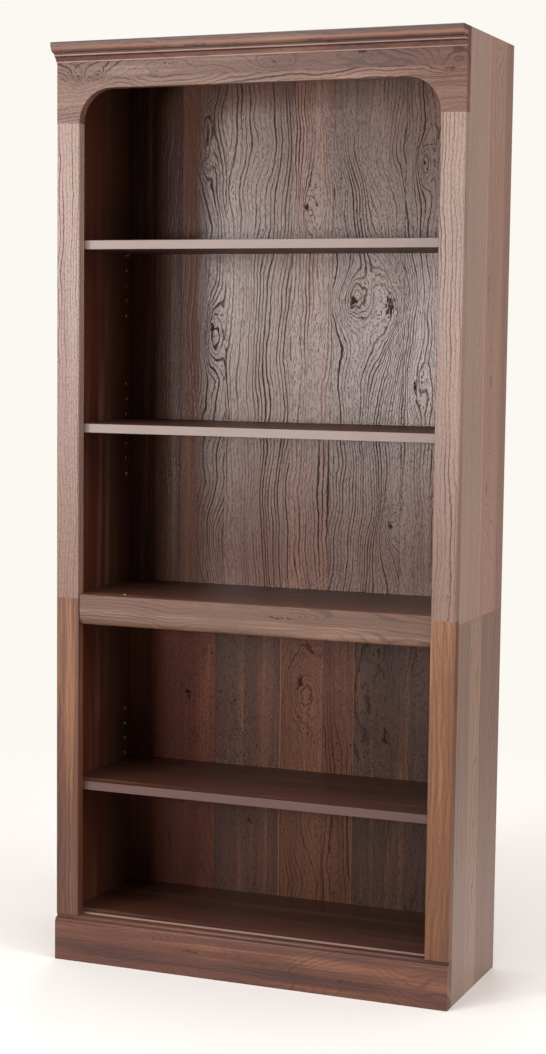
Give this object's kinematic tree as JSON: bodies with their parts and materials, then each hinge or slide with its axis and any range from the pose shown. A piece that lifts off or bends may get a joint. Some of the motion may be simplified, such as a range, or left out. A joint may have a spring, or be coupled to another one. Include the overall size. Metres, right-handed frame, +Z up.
{
  "type": "bookcase with adjustable shelves",
  "caption": "Tall walnut-effect bookcase with an arched header, crown and base mouldings, one fixed shelf and lift-off shelves on steel pins.",
  "frame": {"origin": "middle of the footprint on the floor (bottom centre of the bounding box)", "axes": "+Z up, +X to the right as seen from the front, front towards -Y, back panels towards +Y"},
  "size_m": [0.848, 0.35, 1.866],
  "materials": {
    "panel_laminate": "walnut-effect printed laminate, satin",
    "frame_laminate": "walnut-effect printed foil on moulded board, satin",
    "back_print": "plank-printed thin board, half gloss",
    "pin_steel": "bright plated steel",
    "zinc": "die-cast zinc, dull",
    "fitting_steel": "zinc-plated steel",
    "beech": "plain beech, fluted dowel",
    "pale_plastic": "pale moulded plastic"
  },
  "bodies": {
    "carcass": {"back_nails": "fitting_steel", "back_panel_lower": "back_print", "back_panel_upper": "back_print", "base_board": "frame_laminate", "bottom_panel": "panel_laminate", "cam_bolts": "fitting_steel", "cam_locks": "zinc", "crown_moulding": "frame_laminate", "crown_screws": "fitting_steel", "fixed_shelf": "panel_laminate", "fixed_shelf_rail": "frame_laminate", "frame_dowels": "beech", "header_board": "frame_laminate", "joint_dowels": "beech", "left_side_lower": "panel_laminate", "left_side_upper": "panel_laminate", "left_stile_lower": "frame_laminate", "left_stile_upper": "frame_laminate", "right_side_lower": "panel_laminate", "right_side_upper": "panel_laminate", "right_stile_lower": "frame_laminate", "right_stile_upper": "frame_laminate", "shelf_cap": "pale_plastic", "top_panel": "panel_laminate"},
    "shelf_upper": {"adjustable_shelf_upper": "panel_laminate"},
    "shelf_middle": {"adjustable_shelf_middle": "panel_laminate"},
    "shelf_lower": {"adjustable_shelf_lower": "panel_laminate"},
    "pins_upper_left": {"shelf_pins_upper_left": "pin_steel"},
    "pins_upper_right": {"shelf_pins_upper_right": "pin_steel"},
    "pins_middle_left": {"shelf_pins_middle_left": "pin_steel"},
    "pins_middle_right": {"shelf_pins_middle_right": "pin_steel"},
    "pins_lower_left": {"shelf_pins_lower_left": "pin_steel"},
    "pins_lower_right": {"shelf_pins_lower_right": "pin_steel"}
  },
  "joints": [
    {"name": "shelf_upper_lift", "type": "slide", "parent": "carcass", "child": "shelf_upper", "axis": [0, 0, 1], "range_m": [0, 0.36]},
    {"name": "shelf_middle_lift", "type": "slide", "parent": "carcass", "child": "shelf_middle", "axis": [0, 0, 1], "range_m": [0, 0.34]},
    {"name": "shelf_lower_lift", "type": "slide", "parent": "carcass", "child": "shelf_lower", "axis": [0, 0, 1], "range_m": [0, 0.36]},
    {"name": "pins_upper_left_pull", "type": "slide", "parent": "carcass", "child": "pins_upper_left", "axis": [1, 0, 0], "range_m": [0, 0.009]},
    {"name": "pins_upper_right_pull", "type": "slide", "parent": "carcass", "child": "pins_upper_right", "axis": [-1, 0, 0], "range_m": [0, 0.009]},
    {"name": "pins_middle_left_pull", "type": "slide", "parent": "carcass", "child": "pins_middle_left", "axis": [1, 0, 0], "range_m": [0, 0.009]},
    {"name": "pins_middle_right_pull", "type": "slide", "parent": "carcass", "child": "pins_middle_right", "axis": [-1, 0, 0], "range_m": [0, 0.009]},
    {"name": "pins_lower_left_pull", "type": "slide", "parent": "carcass", "child": "pins_lower_left", "axis": [1, 0, 0], "range_m": [0, 0.009]},
    {"name": "pins_lower_right_pull", "type": "slide", "parent": "carcass", "child": "pins_lower_right", "axis": [-1, 0, 0], "range_m": [0, 0.009]}
  ]
}
